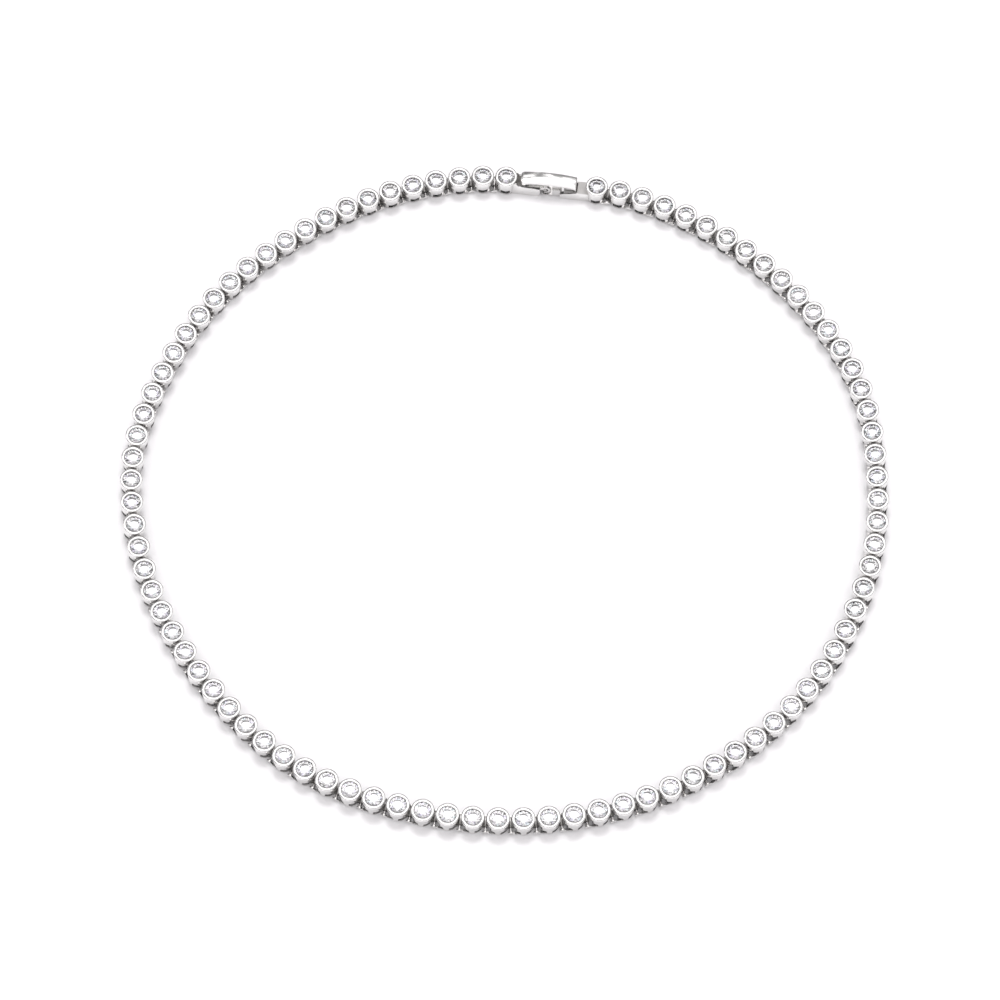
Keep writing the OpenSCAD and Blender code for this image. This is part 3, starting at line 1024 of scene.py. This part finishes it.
def clasp_piece(node_name, name, body, end=None, cup=None):
    """Refines one CAD node. A half of the clasp also gets the turned cup at its end of the string."""
    mesh = copied(node_name)
    if end is not None:
        mesh = whole_faces(without_cup(mesh, end))
    mesh = rounded(mesh, CLASP_ROUND, CLASP_ROUND_STEPS)
    smooth(mesh)
    dull_and_shaded_inside(mesh)
    parts = [(mesh, TO_METRES)]
    if end is not None:
        ring = cup.copy()
        smooth(ring)
        parts.append((ring, TO_METRES @ end))
    item = as_object(together(parts, name), name)
    item.data.set_sharp_from_angle(angle=math.radians(SHARP_ABOVE))
    item.data.materials.append(clasp_metal)
    # The second slot holds the satin metal with painted shade.
    item.data.materials.append(shaded_satin)
    if end is not None:
        evenly_shaded(item)
    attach(item, body)
    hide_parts(node_name)
    print(name + ":", triangles(item.data), "triangles")


clasp_piece("clasp_base", "clasp_hook_half", "string", places[0], whole_cup)
clasp_piece("clasp_catch", "clasp_bar_half", "string", places[-1], notched_cup)
clasp_piece("clasp_lid", "fold_over_lid", "lid")

# %% [markdown]
# ## The floor
#
# The necklace lies on a matt white sheet that is almost, but not quite, lost in the light. A pure white
# would be simplest, yet then the soft shadows beside the cups would be washed out. The sheet is a shade
# darker, with a very faint cloudiness, as paper has.

# %% Lay the floor
FLOOR_R = 2.5
FLOOR_LOW = (0.885, 0.877, 0.887)
FLOOR_HIGH = (0.905, 0.896, 0.907)
FLOOR_CLOUDS = 14
FLOOR_DETAIL = 2
FLOOR_ROUGHNESS = 0.9
FLOOR_SHINE = 0.1


def pale_floor():
    """Matt and nearly white, with a faint cloudiness."""
    material, tree, shader = new_material("Pale floor")
    noise = add_node(tree, "ShaderNodeTexNoise", {
        "Vector": add_node(tree, "ShaderNodeTexCoord", {}).outputs["Object"],
        "Scale": FLOOR_CLOUDS,
        "Detail": FLOOR_DETAIL,
    })
    plug_in(tree, shader, {
        "Base Color": between(tree, noise.outputs["Fac"], solid(FLOOR_LOW), solid(FLOOR_HIGH)),
        "Roughness": FLOOR_ROUGHNESS,
        "Specular IOR Level": FLOOR_SHINE,
    })
    return material


bpy.ops.mesh.primitive_plane_add(size=2 * FLOOR_R, location=(0, 0, 0))
floor = bpy.context.active_object
floor.name = "floor"
floor.data.materials.append(pale_floor())
print("the floor is", 2 * FLOOR_R, "m wide")

# %% [markdown]
# ## The light tent
#
# Jewellery is photographed in a tent of white cloth, because metal and stones show what stands around them.
# Sheets of cloth could be put up as lit planes, but Blender's sky gives the same light with less to set up.
# It is worked out from the direction alone: bright overhead and in front, dark to the left, to the right
# and low down at the back. That contrast draws the dark outlines of the cups.

# %% Shape the bright and dark sides of the tent
ROOF_RISE = (0.3, 0.75)
FRONT_RISE = (0.3, 0.75)
FRONT_FOOT_RISE = (-0.05, 0.25)
SIDE_RISE = (0.3, 0.75)
FRONT_GLOW = 0.75

world = bpy.data.worlds.new("Studio")
bpy.context.scene.world = world
world.use_nodes = True
sky = world.node_tree
bpy.context.scene.view_settings.view_transform = "Standard"


def rise(value, limits):
    """A smooth step from 0 at the lower limit to 1 at the upper one."""
    inputs = {"Value": value, "From Min": limits[0], "From Max": limits[1]}
    return add_node(sky, "ShaderNodeMapRange", inputs, interpolation_type="SMOOTHSTEP").outputs["Result"]


def calculated(operation, first, second):
    """What one sum in the sky's nodes gives."""
    return add_node(sky, "ShaderNodeMath", {0: first, 1: second}, operation=operation).outputs[0]


def product(*factors):
    total = factors[0]
    for factor in factors[1:]:
        total = calculated("MULTIPLY", total, factor)
    return total


def inverse(value):
    return calculated("SUBTRACT", 1.0, value)


direction = add_node(sky, "ShaderNodeTexCoord", {}).outputs["Generated"]
split = add_node(sky, "ShaderNodeSeparateXYZ", {"Vector": direction})
height = split.outputs["Z"]
aside = calculated("ABSOLUTE", split.outputs["X"], 0.0)
ahead = product(split.outputs["Y"], -1.0)
roof = rise(height, ROOF_RISE)
front_sides = inverse(rise(aside, SIDE_RISE))
front = product(rise(ahead, FRONT_RISE), rise(height, FRONT_FOOT_RISE), front_sides, FRONT_GLOW)
tent = calculated("MAXIMUM", roof, front)
print("the tent is worked out with", len(sky.nodes), "nodes")

# %% [markdown]
# ## What the stones sparkle with
#
# A facet only sparkles when its neighbour shows something darker, and a perfectly even tent makes stones
# look like milk glass. In a studio, there are seams between the tent's panels and small things that stand
# about. Modelling a studio would be a lot of work for what is seen only in facets half a millimetre wide. A
# wave round the horizon makes the seams, and a coarse noise with a sharp edge makes the clutter.

# %% Add seams and clutter to the tent, and light the scene with it
PANEL_COUNT = 5
PANEL_EDGE = (-0.25, 0.25)
PANEL_TOP = (0.66, 0.8)
PANEL_GAP = 0.62
CLUTTER_SCALE = 5.0
CLUTTER_DETAIL = 1.0
CLUTTER_EDGE = (0.47, 0.53)
CLUTTER_TOP = (0.82, 0.91)
CLUTTER = 0.85
SKY_GLOW = 1.7
SKY_BASE = 0.13
SKY_TONE = (1.0, 0.985, 0.995)

bearing = calculated("ARCTAN2", split.outputs["Y"], split.outputs["X"])
panels = rise(calculated("SINE", product(bearing, PANEL_COUNT), 0.0), PANEL_EDGE)
seams = product(inverse(panels), inverse(rise(height, PANEL_TOP)), PANEL_GAP)
clutter_inputs = {"Vector": direction, "Scale": CLUTTER_SCALE, "Detail": CLUTTER_DETAIL}
clutter = add_node(sky, "ShaderNodeTexNoise", clutter_inputs).outputs["Fac"]
dark_spots = product(inverse(rise(clutter, CLUTTER_EDGE)), inverse(rise(height, CLUTTER_TOP)), CLUTTER)
glow = product(tent, inverse(seams), inverse(dark_spots), SKY_GLOW)
brightness = calculated("ADD", SKY_BASE, glow)
tone = add_node(sky, "ShaderNodeVectorMath", {0: SKY_TONE, "Scale": brightness}, operation="SCALE")
plug_in(sky, sky.nodes["Background"], {"Color": tone.outputs["Vector"], "Strength": 1.0})
print("with seams and clutter, it has", len(sky.nodes), "nodes")

# %% [markdown]
# ## The softbox
#
# The photograph has soft shadows in front of the cups, so one light hangs high at the back. The tent alone
# would give only a faint shadow all round, as if the necklace floated. The softbox is hidden from
# reflections and from the stones, because a bright square in every facet would give it away.

# %% Hang the softbox
KEY_WATTS = 5.6
KEY_SIDE = 0.34
KEY_STAND = Vector((0.0, 0.4, 1.25))

key_light = bpy.data.lights.new("key softbox", "AREA")
key_light.shape = "SQUARE"
key_light.size = KEY_SIDE
key_light.energy = KEY_WATTS
key = bpy.data.objects.new("key softbox", key_light)
bpy.context.scene.collection.objects.link(key)
key.location = KEY_STAND
key.rotation_euler = (Vector((0, 0, 0)) - KEY_STAND).to_track_quat("-Z", "Y").to_euler()
key.visible_glossy = False
key.visible_transmission = False
print("the softbox hangs %.2f m from the necklace" % KEY_STAND.length)

# %% [markdown]
# ## The camera
#
# The camera looks down steeply from the side opposite the clasp, with a long lens, as for a picture in a
# catalogue. Its angles could be judged by eye. They were fitted instead, so that the stones fall about
# where they do in the photograph. The stones of a string are evenly spaced, so how close together they look
# on each side of the loop tells how high the camera stands and how far away.

# %% Place the camera, fitted to the places of the stones in the photograph
CAMERA_UP = 67.09
CAMERA_TURN = -2.06
CAMERA_ROLL = 1.58
CAMERA_AWAY = 695.6
CAMERA_TARGET = (-0.89, -1.14, 0.0)
LENS = 135.82
SENSOR = 36.0

up, turn = math.radians(CAMERA_UP), math.radians(CAMERA_TURN)
back = Vector((math.sin(turn) * math.cos(up), -math.cos(turn) * math.cos(up), math.sin(up)))
camera_data = bpy.data.cameras.new("camera")
camera_data.lens = LENS
camera_data.sensor_width = SENSOR
camera = bpy.data.objects.new("camera", camera_data)
bpy.context.scene.collection.objects.link(camera)
level = back.to_track_quat("Z", "Y").to_matrix().to_4x4()
rolled = level @ Matrix.Rotation(math.radians(CAMERA_ROLL), 4, "Z")
camera.matrix_world = Matrix.Translation(MM * (Vector(CAMERA_TARGET) + CAMERA_AWAY * back)) @ rolled
bpy.context.scene.camera = camera
print("the camera stands %.2f m up" % camera.matrix_world.translation.z)
